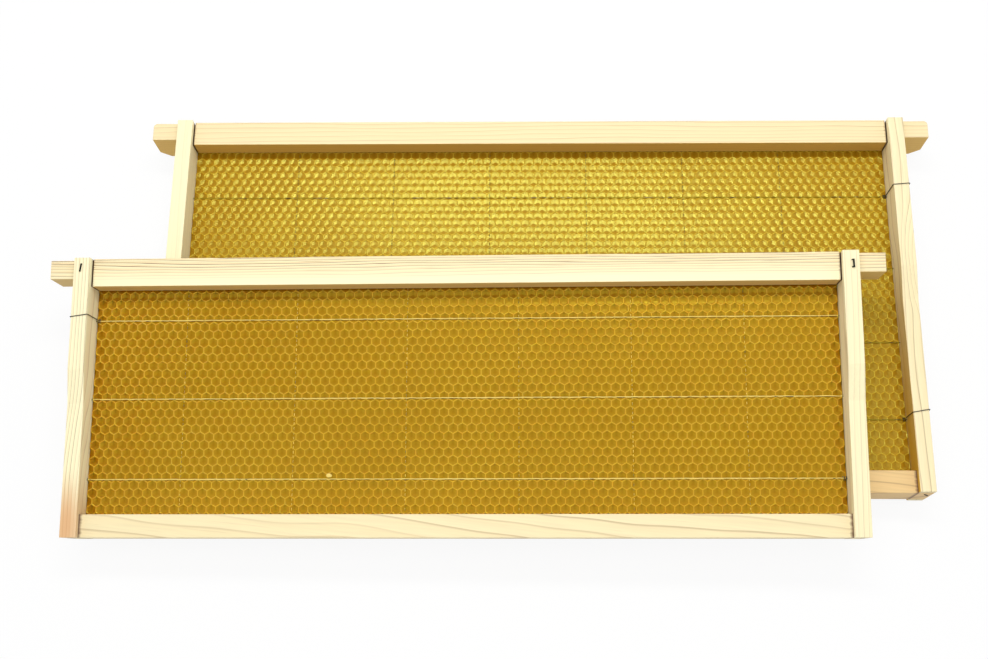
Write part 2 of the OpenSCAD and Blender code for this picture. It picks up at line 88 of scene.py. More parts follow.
def pine_material():
    """Pine: rings round a far pith, darker where the late wood is, with fibres, streaks and a knot.

    The attribute grain holds the place in the log, along it in mm and across it in rings. look holds
    the wood's warmth, the strength of its lines and the share of painted wax-coloured bounce light and
    shade. knot holds the way from a knot's middle, as a share of the knot's reach. The attribute for the
    gap holds painted shade on the wood inside a joint's narrow gap. Bars that end at a side bar carry a
    painted shadow of the joint's gap at their torn, ragged end, up to where the fork hides them."""
    material, tree = new_material("planed_pine")
    # The wax-gold tone is painted bounce light and shade from the wax, laid on faces that look down at
    # it.
    pale, warm, halo = linear("#ECE8C2"), linear("#DDBC82"), linear("#E0BA82")
    late, knot_brown, painted_wax_bounce = linear("#6E4826"), linear("#C9905A"), linear("#C89A14")
    # The dark red-brown tone is painted shadow of a joint's gap.
    gap_shadow_brown = linear("#5A3014")
    sway_rings, fibre_pitch, ragged_reach = 3.5, 0.2, 2.4
    shade_start, fork_start, fork_hides = 214.6, 215.4, 216.2
    grain = add(tree, "ShaderNodeAttribute", attribute_name="grain").outputs["Vector"]
    look = add(tree, "ShaderNodeAttribute", attribute_name="look").outputs["Vector"]
    knot = add(tree, "ShaderNodeAttribute", attribute_name="knot").outputs["Vector"]
    math_node, vector_node = "ShaderNodeMath", "ShaderNodeVectorMath"
    warmth, lines, painted_bounce_share = add(tree, "ShaderNodeSeparateXYZ", {0: look}).outputs
    reach = add(tree, vector_node, {0: knot}, operation="LENGTH").outputs["Value"]
    swirl = add(
        tree,
        "ShaderNodeMapRange",
        {"Value": reach, "From Min": 0.6, "From Max": 2.6, "To Min": 2.4, "To Max": 0.0},
        interpolation_type="SMOOTHSTEP",
    ).outputs[0]
    slow = add(tree, vector_node, {0: grain, 1: (0.006, 0.09, 0.09)}, operation="MULTIPLY").outputs[0]
    sway = add(tree, "ShaderNodeTexNoise", {"Vector": slow, "Scale": 1.0, "Detail": 2.0}).outputs["Fac"]
    across = add(tree, vector_node, {0: grain, 1: (0, 1, 1)}, operation="MULTIPLY").outputs[0]
    radius = add(tree, vector_node, {0: across}, operation="LENGTH").outputs["Value"]
    phase = add(tree, math_node, {0: sway, 1: sway_rings, 2: radius}, operation="MULTIPLY_ADD").outputs[0]
    phase = add(tree, math_node, {0: phase, 1: swirl}, operation="ADD").outputs[0]
    ring = add(tree, math_node, {0: phase}, operation="FRACT").outputs[0]
    which = add(tree, math_node, {0: phase}, operation="FLOOR").outputs[0]
    luck = add(tree, "ShaderNodeTexWhiteNoise", {"W": which}, noise_dimensions="1D").outputs["Value"]
    rise = add(
        tree,
        "ShaderNodeMapRange",
        {"Value": ring, "From Min": 0.78, "From Max": 0.95},
        interpolation_type="SMOOTHSTEP",
    ).outputs[0]
    fall = add(
        tree,
        "ShaderNodeMapRange",
        {"Value": ring, "From Min": 0.96, "From Max": 1.0, "To Min": 1.0, "To Max": 0.0},
        interpolation_type="SMOOTHSTEP",
    ).outputs[0]
    stretch = (0.03, 1 / fibre_pitch, 1 / fibre_pitch)
    thin = add(tree, vector_node, {0: grain, 1: stretch}, operation="MULTIPLY").outputs[0]
    fibre = add(tree, "ShaderNodeTexNoise", {"Vector": thin, "Scale": 1.0, "Detail": 3.0}).outputs["Fac"]
    streak = add(
        tree,
        "ShaderNodeMapRange",
        {"Value": fibre, "From Min": 0.6, "From Max": 0.72, "To Min": 0.0, "To Max": 0.35},
    ).outputs[0]
    bold = add(tree, "ShaderNodeMapRange", {"Value": luck, "To Min": 0.25, "To Max": 1.0}).outputs[0]
    line = add(tree, math_node, {0: rise, 1: fall}, operation="MULTIPLY").outputs[0]
    line = add(tree, math_node, {0: line, 1: bold, 2: streak}, operation="MULTIPLY_ADD").outputs[0]
    line = add(tree, math_node, {0: line, 1: lines}, operation="MULTIPLY", use_clamp=True).outputs[0]
    early = add(tree, "ShaderNodeMix", {0: warmth, 6: pale, 7: warm}, data_type="RGBA").outputs[2]
    blush = add(tree, math_node, {0: ring, 1: lines}, operation="MULTIPLY", use_clamp=True).outputs[0]
    blush = add(tree, math_node, {0: blush, 1: 0.45}, operation="MULTIPLY").outputs[0]
    early = add(tree, "ShaderNodeMix", {0: blush, 6: early, 7: halo}, data_type="RGBA").outputs[2]
    colour = add(tree, "ShaderNodeMix", {0: line, 6: early, 7: late}, data_type="RGBA").outputs[2]
    shade = add(
        tree,
        "ShaderNodeMapRange",
        {"Value": fibre, "From Min": 0.3, "From Max": 0.7, "To Min": 0.93, "To Max": 1.03},
    ).outputs[0]
    colour = add(
        tree, "ShaderNodeMix", {0: 1.0, 6: colour, 7: shade}, data_type="RGBA", blend_type="MULTIPLY"
    ).outputs[2]
    ragged = add(tree, math_node, {0: fibre, 1: 0.5, 2: reach}, operation="MULTIPLY_ADD").outputs[0]
    tone_share = add(
        tree,
        "ShaderNodeMapRange",
        {"Value": ragged, "From Min": 0.35, "From Max": 1.25, "To Min": 0.8, "To Max": 0.0},
        interpolation_type="SMOOTHSTEP",
    ).outputs[0]
    # Knot brown is the wood's own colour; the wax-gold mix is painted bounce light and shade.
    for amount, tone in ((tone_share, knot_brown), (painted_bounce_share, painted_wax_bounce)):
        colour = add(tree, "ShaderNodeMix", {0: amount, 6: colour, 7: tone}, data_type="RGBA").outputs[2]
    # Painted shadow of the joint's gap at a bar's end, with a torn, ragged edge of end grain, up to where
    # the fork hides the bar.
    along = add(tree, "ShaderNodeSeparateXYZ", {0: grain}).outputs["X"]
    along = add(tree, math_node, {0: along}, operation="ABSOLUTE").outputs[0]
    torn_end_shade = add(tree, math_node, {0: fibre, 1: ragged_reach, 2: along}, operation="MULTIPLY_ADD").outputs[0]
    torn_end_shade = add(
        tree,
        "ShaderNodeMapRange",
        {"Value": torn_end_shade, "From Min": shade_start, "From Max": fork_hides, "To Min": 0.0, "To Max": 0.85},
    ).outputs[0]
    hidden = add(
        tree,
        "ShaderNodeMapRange",
        {"Value": along, "From Min": fork_start, "From Max": fork_hides, "To Min": 1.0, "To Max": 0.0},
    ).outputs[0]
    torn_end_shade = add(tree, math_node, {0: torn_end_shade, 1: hidden}, operation="MULTIPLY").outputs[0]
    # Painted shade inside a joint's gap, from the side bar's mesh, joins the painted shadow at the bar's
    # end.
    gap = add(tree, "ShaderNodeAttribute", attribute_name="gap").outputs["Fac"]
    torn_end_shade = add(tree, math_node, {0: torn_end_shade, 1: gap}, operation="MAXIMUM").outputs[0]
    colour = add(tree, "ShaderNodeMix", {0: torn_end_shade, 6: colour, 7: gap_shadow_brown}, data_type="RGBA").outputs[2]
    bump = add(tree, "ShaderNodeBump", {"Strength": 0.25, "Distance": 0.05 * MM, "Height": fibre})
    shader = add(
        tree,
        "ShaderNodeBsdfPrincipled",
        {"Base Color": colour, "Roughness": 0.6, "IOR": 1.5, "Normal": bump.outputs[0]},
    )
    add(tree, "ShaderNodeOutputMaterial", {0: shader.outputs[0]})
    return material


pine = pine_material()


def wooden_bar(
    node,
    body,
    place,
    along,
    pith,
    ring,
    warmth,
    lines,
    slope=0.0,
    knot=None,
    painted_bounce_share=0.0,
    painted_bounce_span=None,
    seat=None,
):
    """Eased copy of a CAD bar whose mesh carries its place in an imaginary log.

    along is the local axis of the grain; pith is the log's middle, across and out of the frame, in mm;
    ring is the width of a growth ring in mm. lines is the strength of the grain lines at the low and at
    the high side of the bar. slope is the angle in degrees between bar and grain. knot is a knot's
    middle and its reach along each axis. The painted bounce share is how far painted wax-coloured bounce
    light and shade tint the low side, and the painted bounce span is where along the bar that painted
    tint starts and where it is full. seat is the low side and the front of the top bar that a side bar
    holds: the side bar's inner face carries painted shade in the narrow gap behind that bar's end.
    Returns the low side and the front of the bar itself."""
    ease, ease_steps, sharpest, shortest = 0.25 * MM, 2, math.radians(40), 3 * MM
    work = bmesh.new()
    work.from_mesh(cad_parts[node].data)
    same_point, no_length, flat = 0.01 * MM, 0.001 * MM, math.radians(1)
    bmesh.ops.remove_doubles(work, verts=work.verts, dist=same_point)
    bmesh.ops.dissolve_limit(work, angle_limit=flat, verts=work.verts, edges=work.edges)
    sharp = [
        edge
        for edge in work.edges
        if edge.is_manifold and edge.calc_face_angle() > sharpest and edge.calc_length() > shortest
    ]
    bmesh.ops.bevel(work, geom=sharp, offset=ease, segments=ease_steps, profile=0.5, affect="EDGES")
    bmesh.ops.remove_doubles(work, verts=work.verts, dist=2 * no_length)
    bmesh.ops.dissolve_degenerate(work, edges=work.edges, dist=no_length)
    bmesh.ops.triangulate(work, faces=[face for face in work.faces if len(face.verts) > 4])
    to_frame = place.inverted()
    # Painted shade in the joint: the cuts below fence off the side bar's inner face inside the narrow gap
    # behind the top bar's end.
    seam, gap_shade_strength = 0.3, 0.95
    inner = min((to_frame @ vertex.co / MM for vertex in work.verts), key=lambda point: abs(point.x)).x
    if seat:
        cuts = [Vector((inner + math.copysign(seam, inner), 0, 0))]
        cuts += [Vector((0, seat[0] + rise, 0)) for rise in (0, seam)]
        cuts += [Vector((0, 0, s * (seat[1] - inset))) for s in (-1, 1) for inset in (0, seam)]
        for cut in cuts:
            way = place.to_3x3() @ Vector([bool(part) for part in cut])
            everything = work.verts[:] + work.edges[:] + work.faces[:]
            bmesh.ops.bisect_plane(
                work, geom=everything, dist=no_length, plane_co=place @ (cut * MM), plane_no=way
            )
    low_way = place.to_3x3() @ Vector((0, -1, 0) if along == "X" else (-1, 0, 0))
    work.normal_update()
    under = [any(face.normal.dot(low_way) > 0.9 for face in vertex.link_faces) for vertex in work.verts]
    mesh = bpy.data.meshes.new(node + "_wood")
    work.to_mesh(mesh)
    work.free()
    tilt = Matrix.Rotation(math.radians(slope), 3, "Z")
    for name in ("grain", "knot", "look"):
        mesh.attributes.new(name, "FLOAT_VECTOR", "POINT")
    mesh.attributes.new("gap", "FLOAT", "POINT")
    grain, away, look = (mesh.attributes[name].data for name in ("grain", "knot", "look"))
    points = [to_frame @ vertex.co / MM for vertex in mesh.vertices]
    wides = [point.y if along == "X" else point.x for point in points]
    low, high = min(wides), max(wides)
    for i, point in enumerate(points):
        long, wide = (point.x, point.y) if along == "X" else (point.y, point.x)
        lie = tilt @ Vector((long, wide, point.z))
        strength = lines[0] + (lines[1] - lines[0]) * (wide - low) / (high - low)
        grain[i].vector = (long, (lie.y - pith[0]) / ring, (lie.z - pith[1]) / ring)
        away[i].vector = [(point[k] - knot[0][k]) / knot[1][k] for k in range(3)] if knot else FAR_AWAY
        # Painted wax-coloured bounce light and shade on the faces that look down at the wax, ramped along
        # the bar.
        tone_share = painted_bounce_share if under[i] else 0
        if painted_bounce_span:
            tone_share *= min(max((long - painted_bounce_span[0]) / (painted_bounce_span[1] - painted_bounce_span[0]), 0), 1)
        look[i].vector = (warmth, strength, tone_share)
        # That fenced part of the inner face gets dark painted shade.
        inside = seat and point.y > seat[0] + 0.9 * seam and abs(point.z) < seat[1] - 0.9 * seam
        facing = abs(point.x - inner) < 0.1 * seam
        mesh.attributes["gap"].data[i].value = gap_shade_strength if inside and facing else 0
    mesh.materials.append(pine)
    piece = bpy.data.objects.new(node + "_wood", mesh)
    scene.collection.objects.link(piece)
    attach(piece, body)
    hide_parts(node)
    return low, max(point.z for point in points)


deep_place, deep_sheet = sheet_place("deep_wax_sheet")
medium_place, medium_sheet = sheet_place("medium_wax_sheet")
# The top bars' undersides carry painted wax-coloured bounce light and shade.
deep_seat = wooden_bar(
    "deep_top_bar",
    "deep_frame",
    deep_place,
    along="X",
    pith=(-60, -160),
    ring=2.0,
    warmth=0.5,
    lines=(0.5, 0.65),
    painted_bounce_share=0.75,
)
medium_seat = wooden_bar(
    "medium_top_bar",
    "medium_frame",
    medium_place,
    along="X",
    pith=(140, 60),
    ring=1.4,
    warmth=0.2,
    lines=(-0.9, 3.2),
    painted_bounce_share=0.65,
)

# Side bars: pine with the grain up the bar, forked at both ends, with wide shoulders above that space
# the frames in a hive. The grain of the deep right bar bends round a knot, and its inner face carries
# painted wax-coloured reflection and shade; the medium left bar has a knot at its foot. The forks hold
# the other bars, and inside each fork the inner face carries painted shade in the gap behind the top bar.
medium_left_knot = ((-221, -74, 12), (13, 36, 30))
deep_right_knot = ((229, 24, 0), (6.5, 16, 200))
wooden_bar(
    "deep_left_side_bar",
    "deep_frame",
    deep_place,
    along="Y",
    pith=(-150, 90),
    ring=5.0,
    warmth=0.2,
    lines=(0.15, 0.15),
    seat=deep_seat,
)
wooden_bar(
    "deep_right_side_bar",
    "deep_frame",
    deep_place,
    along="Y",
    pith=(130, 60),
    ring=4.2,
    warmth=0.3,
    lines=(0.55, 0.55),
    knot=deep_right_knot,
    painted_bounce_share=0.95,
    painted_bounce_span=(22, -60),
    seat=deep_seat,
)
wooden_bar(
    "medium_left_side_bar",
    "medium_frame",
    medium_place,
    along="Y",
    pith=(-290, 30),
    ring=2.1,
    warmth=0.05,
    lines=(0.85, 0.7),
    knot=medium_left_knot,
    seat=medium_seat,
)
wooden_bar(
    "medium_right_side_bar",
    "medium_frame",
    medium_place,
    along="Y",
    pith=(330, -20),
    ring=2.6,
    warmth=0.22,
    lines=(0.4, 0.4),
    seat=medium_seat,
)

# Bottom bars: plain pine bars let into the lower forks, sawn from a board whose grain runs out of
# the face at a slant, so that the rings show as long soft bands.
wooden_bar(
    "deep_bottom_bar",
    "deep_frame",
    deep_place,
    along="X",
    pith=(-190, 20),
    ring=6.0,
    warmth=1.0,
    lines=(0.45, 0.45),
    slope=6.0,
)
wooden_bar(
    "medium_bottom_bar",
    "medium_frame",
    medium_place,
    along="X",
    pith=(-160, 25),
    ring=7.0,
    warmth=0.42,
    lines=(0.4, 0.4),
    slope=6.5,
)

# Wax sheets: beeswax rolled between engraved rollers, which press the bases of honeycomb cells into
# both faces. The sheet stands in the top bar's groove and on the bottom bar, and the laced wires are
# melted into it, each in a thin bead of wax. Thin wax lets light through.
CELL_PITCH = 5.3
ROW_PITCH = CELL_PITCH * math.sqrt(3) / 2


def wax_material(name, shaded_hollow_code, lit_crest_code, gleam_code, clear, milky):
    """Beeswax: gold and cloudy, with a sheen of its own colour; painted shade darkens the hollows and a
    painted highlight pales the crests.

    clear is the share of light that passes straight through, and milky the share that is scattered."""
    material, tree = new_material(name)
    shaded_hollow, crest, cloud = linear(shaded_hollow_code), linear(lit_crest_code), linear("#F2E6C4")
    clouds_per_metre, scatter_depth = 18.0, 2 * MM
    relief = add(tree, "ShaderNodeAttribute", attribute_name="relief").outputs["Fac"]
    place = add(tree, "ShaderNodeTexCoord").outputs["Object"]
    haze = add(
        tree, "ShaderNodeTexNoise", {"Vector": place, "Scale": clouds_per_metre, "Detail": 3.0}
    ).outputs["Fac"]
    # Painted shade: the colour runs from the dark hollow tone on the cell floors to the pale crest tone
    # on the crests.
    colour = add(tree, "ShaderNodeMix", {0: relief, 6: shaded_hollow, 7: crest}, data_type="RGBA").outputs[2]
    amount = add(
        tree,
        "ShaderNodeMapRange",
        {"Value": haze, "From Min": 0.3, "From Max": 0.75, "To Min": 0.0, "To Max": 0.8},
    ).outputs[0]
    colour = add(
        tree, "ShaderNodeMix", {0: amount, 6: colour, 7: cloud}, data_type="RGBA", blend_type="MULTIPLY"
    ).outputs[2]
    shader = add(
        tree,
        "ShaderNodeBsdfPrincipled",
        {
            "Base Color": colour,
            "Roughness": 0.22,
            "IOR": 1.44,
            "Transmission Weight": clear,
            "Subsurface Weight": milky,
            "Subsurface Radius": (1.0, 0.55, 0.12),
            "Subsurface Scale": scatter_depth,
            "Specular IOR Level": 1.0,
            "Specular Tint": linear(gleam_code),
        },
    )
    add(tree, "ShaderNodeOutputMaterial", {0: shader.outputs[0]})
    return material


def grown(group, values):
    """Plain mesh that a Geometry Nodes group makes with these values."""
    holder = bpy.data.objects.new(group.name, bpy.data.meshes.new(group.name))
    scene.collection.objects.link(holder)
    maker = holder.modifiers.new("grow", "NODES")
    maker.node_group = group
    for item in group.interface.items_tree:
        if item.name in values:
            maker[item.identifier] = values[item.name]
    mesh = bpy.data.meshes.new_from_object(holder.evaluated_get(bpy.context.evaluated_depsgraph_get()))
    bpy.data.objects.remove(holder)
    return mesh


def new_group(name, sockets):
    """An empty Geometry Nodes group with these named inputs and a material, and its input sockets."""
    group = bpy.data.node_groups.new(name, "GeometryNodeTree")
    for label, kind in {**sockets, "Material": "Material"}.items():
        group.interface.new_socket(label, in_out="INPUT", socket_type="NodeSocket" + kind)
    group.interface.new_socket("Mesh", in_out="OUTPUT", socket_type="NodeSocketGeometry")
    return group, add(group, "NodeGroupInput").outputs


def end_group(group, given, shape):
    """Ends a group: its instances made real, its material set, and its shape given out."""
    real = add(group, "GeometryNodeRealizeInstances", {"Geometry": shape}).outputs[0]
    dressed = add(
        group, "GeometryNodeSetMaterial", {"Geometry": real, "Material": given["Material"]}
    ).outputs[0]
    add(group, "NodeGroupOutput", {0: dressed})
    return group


def cell_stamp(crest, low, high, wall, crease, crease_depth):
    """One cell's pressed shape: a six-sided crest, sloping walls, and a floor of three flat rhombs.

    The floor rises from its middle, at the height low, to every second corner, at the height high. A
    narrow crease, wide at its end, parts the two upper rhombs."""
    mesh = bpy.data.meshes.new("cell_stamp")
    reach = CELL_PITCH / math.sqrt(3)
    inside = 1 - wall / reach
    middle, foot = 12, 3
    turns = [math.radians(180 + 60 * k) for k in range(6)]
    ends = [Vector((math.sin(turn), math.cos(turn), 0)) for turn in turns]
    outer = [end * reach + Vector((0, 0, crest)) for end in ends]
    inner = []
    for k, end in enumerate(ends):
        corner = high if k % 2 == 0 else (low + high) / 2
        inner.append(end * reach * inside + Vector((0, 0, low + (corner - low) * inside)))
    rise = crease * (high - low) / reach
    sides = [inner[foot] + Vector((s * crease, 0, rise)) for s in (1, -1)]
    inner[foot] -= Vector((0, 0, crease_depth))
    points = [point * MM for point in outer + inner + [Vector((0, 0, low))] + sides]
    right, left, sunk = middle + 1, middle + 2, foot + 6
    faces = [(k, k + 6, (k + 1) % 6 + 6, (k + 1) % 6) for k in (0, 1, 4, 5)]
    faces += [(2, 8, right, foot), (foot, left, 10, 4), (foot, right, sunk, left)]
    faces += [(middle, 7, 6, 11), (middle, right, 8, 7), (middle, 11, 10, left)]
    faces += [(middle, sunk, right), (middle, left, sunk)]
    mesh.from_pydata(points, [], faces)
    relief = mesh.attributes.new("relief", "FLOAT", "POINT")
    # These values drive the wax's painted shade: pale on the crests, darker down the walls, darkest at
    # each floor's middle.
    crest_relief, foot_relief = 1.0, 0.25
    for k in range(6):
        relief.data[k].value = crest_relief
        relief.data[k + 6].value = foot_relief
    for face in mesh.polygons:
        face.use_smooth = face.index < 6
    return bpy.data.objects.new("cell_stamp", mesh)


def cell_field():
    """Group that lays a cell on each point of a staggered grid, and turns a copy over for the back.

    The back's cells are centred on the front's high corners, so the wax between is even."""
    group, given = new_group(
        "cell_field",
        {"Cell": "Object", "Columns": "Int", "Rows": "Int", "Pitch": "Float", "Row pitch": "Float"},
    )
    math_node, same_point = "ShaderNodeMath", 0.05 * MM
    last_column = add(group, math_node, {0: given["Columns"], 1: 1.0}, operation="SUBTRACT").outputs[0]
    last_row = add(group, math_node, {0: given["Rows"], 1: 1.0}, operation="SUBTRACT").outputs[0]
    width = add(group, math_node, {0: last_column, 1: given["Pitch"]}, operation="MULTIPLY").outputs[0]
    height = add(group, math_node, {0: last_row, 1: given["Row pitch"]}, operation="MULTIPLY").outputs[0]
    grid = add(
        group,
        "GeometryNodeMeshGrid",
        {"Size X": width, "Size Y": height, "Vertices X": given["Columns"], "Vertices Y": given["Rows"]},
    ).outputs["Mesh"]
    place = add(group, "GeometryNodeInputPosition").outputs[0]
    up = add(group, "ShaderNodeSeparateXYZ", {0: place}).outputs["Y"]
    half = add(group, math_node, {0: height, 1: 0.5, 2: up}, operation="MULTIPLY_ADD").outputs[0]
    row = add(group, math_node, {0: half, 1: given["Row pitch"]}, operation="DIVIDE").outputs[0]
    row = add(group, math_node, {0: row}, operation="ROUND").outputs[0]
    odd = add(group, math_node, {0: row, 1: 2.0}, operation="MODULO").outputs[0]
    shift = add(group, math_node, {0: odd, 1: 0.5}, operation="MULTIPLY").outputs[0]
    shift = add(group, math_node, {0: shift, 1: given["Pitch"]}, operation="MULTIPLY").outputs[0]
    shift = add(group, "ShaderNodeCombineXYZ", {"X": shift}).outputs[0]
    grid = add(group, "GeometryNodeSetPosition", {"Geometry": grid, "Offset": shift}).outputs[0]
    cell = add(group, "GeometryNodeObjectInfo", {"Object": given["Cell"]}).outputs["Geometry"]
    cells = add(group, "GeometryNodeInstanceOnPoints", {"Points": grid, "Instance": cell}).outputs[0]
    front = add(group, "GeometryNodeRealizeInstances", {"Geometry": cells}).outputs[0]
    front = add(
        group, "GeometryNodeMergeByDistance", {"Geometry": front, "Distance": same_point}
    ).outputs[0]
    hinge = add(group, math_node, {0: given["Row pitch"], 1: -2 / 3}, operation="MULTIPLY").outputs[0]
    hinge = add(group, math_node, {0: hinge, 1: height}, operation="SUBTRACT").outputs[0]
    rows_up = add(group, math_node, {0: given["Rows"], 1: 0.5}, operation="MULTIPLY").outputs[0]
    rows_up = add(group, math_node, {0: rows_up}, operation="FLOOR").outputs[0]
    doubled = add(group, math_node, {0: given["Row pitch"], 1: 2.0}, operation="MULTIPLY").outputs[0]
    hinge = add(group, math_node, {0: doubled, 1: rows_up, 2: hinge}, operation="MULTIPLY_ADD").outputs[0]
    hinge = add(group, "ShaderNodeCombineXYZ", {"Y": hinge}).outputs[0]
    back = add(
        group,
        "GeometryNodeTransform",
        {"Geometry": front, "Rotation": (math.pi, 0, 0), "Translation": hinge},
    ).outputs[0]
    both = add(group, "GeometryNodeJoinGeometry", {0: front})
    group.links.new(back, both.inputs[0])
    return end_group(group, given, both.outputs[0])


def wire_beads():
    """Group that lays a lumpy bead of wax along each run of the laced wire."""
    vector_node, lumps_per_metre, steps, corners = "ShaderNodeVectorMath", 420.0, 320, 6
    group, given = new_group(
        "wire_beads",
        {
            "Runs": "Int",
            "First": "Vector",
            "Step": "Vector",
            "Half": "Vector",
            "Size": "Float",
            "Lump": "Float",
        },
    )
    starts = add(
        group,
        "GeometryNodeMeshLine",
        {"Count": given["Runs"], "Start Location": given["First"], "Offset": given["Step"]},
    ).outputs[0]
    other = add(group, vector_node, {0: given["Half"], 1: (-1, -1, -1)}, operation="MULTIPLY").outputs[0]
    run = add(group, "GeometryNodeCurvePrimitiveLine", {"Start": other, "End": given["Half"]}).outputs[0]
    runs = add(group, "GeometryNodeInstanceOnPoints", {"Points": starts, "Instance": run}).outputs[0]
    runs = add(group, "GeometryNodeRealizeInstances", {"Geometry": runs}).outputs[0]
    runs = add(group, "GeometryNodeResampleCurve", {"Curve": runs, "Count": steps}).outputs[0]
    section = add(
        group, "GeometryNodeCurvePrimitiveCircle", {"Resolution": corners, "Radius": given["Size"]}
    ).outputs[0]
    bead = add(
        group, "GeometryNodeCurveToMesh", {"Curve": runs, "Profile Curve": section, "Fill Caps": True}
    ).outputs[0]
    lumps = add(group, "ShaderNodeTexNoise", {"Scale": lumps_per_metre, "Detail": 1.0}).outputs["Color"]
    lumps = add(group, vector_node, {0: lumps, 1: (0.5, 0.5, 0.5)}, operation="SUBTRACT").outputs[0]
    lumps = add(group, vector_node, {0: lumps, "Scale": given["Lump"]}, operation="SCALE").outputs[0]
    bead = add(group, "GeometryNodeSetPosition", {"Geometry": bead, "Offset": lumps}).outputs[0]
    return end_group(group, given, bead)


stamp = cell_stamp(crest=0.8, low=0.13, high=0.37, wall=0.6, crease=0.35, crease_depth=0.12)
fields, beads = cell_field(), wire_beads()


def wax_sheet(
    node, body, place, size, wax, shift, wire_ups, bead_place, bead_size, bead_material, flakes=()
):
    """Embossed copy of a CAD sheet, cut to its outline, with the beads of its laced wire.

    shift moves the cells up the sheet, as the rollers happened to meet it. wire_ups are the heights
    of the laced wire's runs. bead_place is how far a bead lies from its wire, up the sheet, and from
    the sheet's middle plane, out of it. flakes are the places of loose crumbs of wax on the sheet,
    with their sizes. All are in mm."""
    spare_cells, lump = 3, 0.45
    field = grown(
        fields,
        {
            "Cell": stamp,
            "Columns": math.ceil(size.x / CELL_PITCH) + spare_cells,
            "Rows": math.ceil(size.y / ROW_PITCH) + spare_cells,
            "Pitch": CELL_PITCH * MM,
            "Row pitch": ROW_PITCH * MM,
            "Material": wax,
        },
    )
    for face in field.polygons:
        face.material_index = 0
    field.transform(Matrix.Translation((0, shift * MM, 0)))
    work = bmesh.new()
    work.from_mesh(field)
    sides = [(Vector((s, 0, 0)), size.x / 2 * MM) for s in (-1, 1)]
    sides += [(Vector((0, s, 0)), size.y / 2 * MM) for s in (-1, 1)]
    near = 0.001 * MM
    for out, reach in sides:
        everything = work.verts[:] + work.edges[:] + work.faces[:]
        bmesh.ops.bisect_plane(
            work, geom=everything, dist=near, plane_co=out * reach, plane_no=out, clear_outer=True
        )
    rim = [edge for edge in work.edges if edge.is_boundary]
    rim_points = {vertex for edge in rim for vertex in edge.verts}
    for x in (-size.x / 2 * MM, size.x / 2 * MM):
        for y in (-size.y / 2 * MM, size.y / 2 * MM):
            corner = [v for v in rim_points if abs(v.co.x - x) + abs(v.co.y - y) < 4 * near]
            rim.append(work.edges.new(corner))
    for out, reach in sides:
        loop = [e for e in rim if all(abs(v.co.dot(out) - reach) < 2 * near for v in e.verts)]
        bmesh.ops.edgeloop_fill(work, edges=loop)
    bow, bow_span = 0.12 * MM, 45 * MM
    for vertex in work.verts:
        vertex.co.z += bow * noise.noise(Vector((vertex.co.x, vertex.co.y, 0)) / bow_span)
    step = (wire_ups[-1] - wire_ups[0]) / (len(wire_ups) - 1)
    lay = grown(
        beads,
        {
            "Runs": len(wire_ups),
            "First": (0, (wire_ups[0] + bead_place[0]) * MM, bead_place[1] * MM),
            "Step": (0, step * MM, 0),
            "Half": (size.x / 2 * MM, 0, 0),
            "Size": bead_size * MM,
            "Lump": lump * MM,
            "Material": bead_material,
        },
    )
    for face in lay.polygons:
        face.use_smooth = True
        face.material_index = 1
    work.from_mesh(lay)
    flake_up, flake_width, flake_t, dent, dent_span = 1.0 * MM, 0.7, 0.6 * MM, 0.5 * MM, 1.5 * MM
    dent_seed = 1
    noise.seed_set(dent_seed)
    for x, y, flake in flakes:
        shape = Matrix.Diagonal((flake * MM, flake_width * flake * MM, flake_t, 1))
        lie = Matrix.Translation((x * MM, y * MM, flake_up)) @ shape
        crumb = bmesh.ops.create_icosphere(work, subdivisions=2, radius=0.5, matrix=lie)["verts"]
        for vertex in crumb:
            vertex.co += dent * noise.noise_vector(vertex.co / dent_span)
            for face in vertex.link_faces:
                face.material_index = 1
    bmesh.ops.recalc_face_normals(work, faces=work.faces)
    work.transform(place)
    mesh = bpy.data.meshes.new(node + "_embossed")
    work.to_mesh(mesh)
    work.free()
    mesh.materials.append(wax)
    mesh.materials.append(bead_material)
    piece = bpy.data.objects.new(node + "_embossed", mesh)
    scene.collection.objects.link(piece)
    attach(piece, body)
    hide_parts(node)


deep_wire_ups = [69.1, 22.1, -24.9, -71.9]
medium_wire_ups = [45.2, -1.05, -47.3]
# The first two tones of each wax are painted: shade in the hollows and paler painted light on the crests.
deep_wax = wax_material("deep_beeswax", "#A87600", "#E0B832", "#F0FF7C", clear=0.4, milky=0.0)
medium_wax = wax_material("medium_beeswax", "#8C5C00", "#BE922E", "#FFEC48", clear=0.0, milky=1.0)
# The deep bead's dark olive is painted shade of the wire seen through the wax; the medium bead's pale
# yellow is a painted glint along the bead, and the medium sheet's crumbs share it.
dark_painted_bead = wax_material("beeswax_over_wire", "#A08418", "#A08418", "#E8FF70", clear=0.2, milky=0.0)
pale_painted_bead = wax_material("melted_beeswax", "#F3D878", "#F3D878", "#FFF8C0", clear=0.2, milky=0.0)
wax_sheet(
    "deep_wax_sheet",
    "deep_frame",
    deep_place,
    deep_sheet,
    deep_wax,
    shift=1.6,
    wire_ups=deep_wire_ups,
    bead_place=(0, 0.64),
    bead_size=0.36,
    bead_material=dark_painted_bead,
)
wax_sheet(
    "medium_wax_sheet",
    "medium_frame",
    medium_place,
    medium_sheet,
    medium_wax,
    shift=0.0,
    wire_ups=medium_wire_ups,
    bead_place=(0.1, 0.68),
    bead_size=0.36,
    bead_material=pale_painted_bead,
    flakes=[(-75.8, -45.0, 3.6)],
)
bpy.data.objects.remove(stamp)

# Upright wires: thin crimped steel wires cast in the wax sheet when it is made. Their crimps
# come to the surface, so each shows as a dotted line.


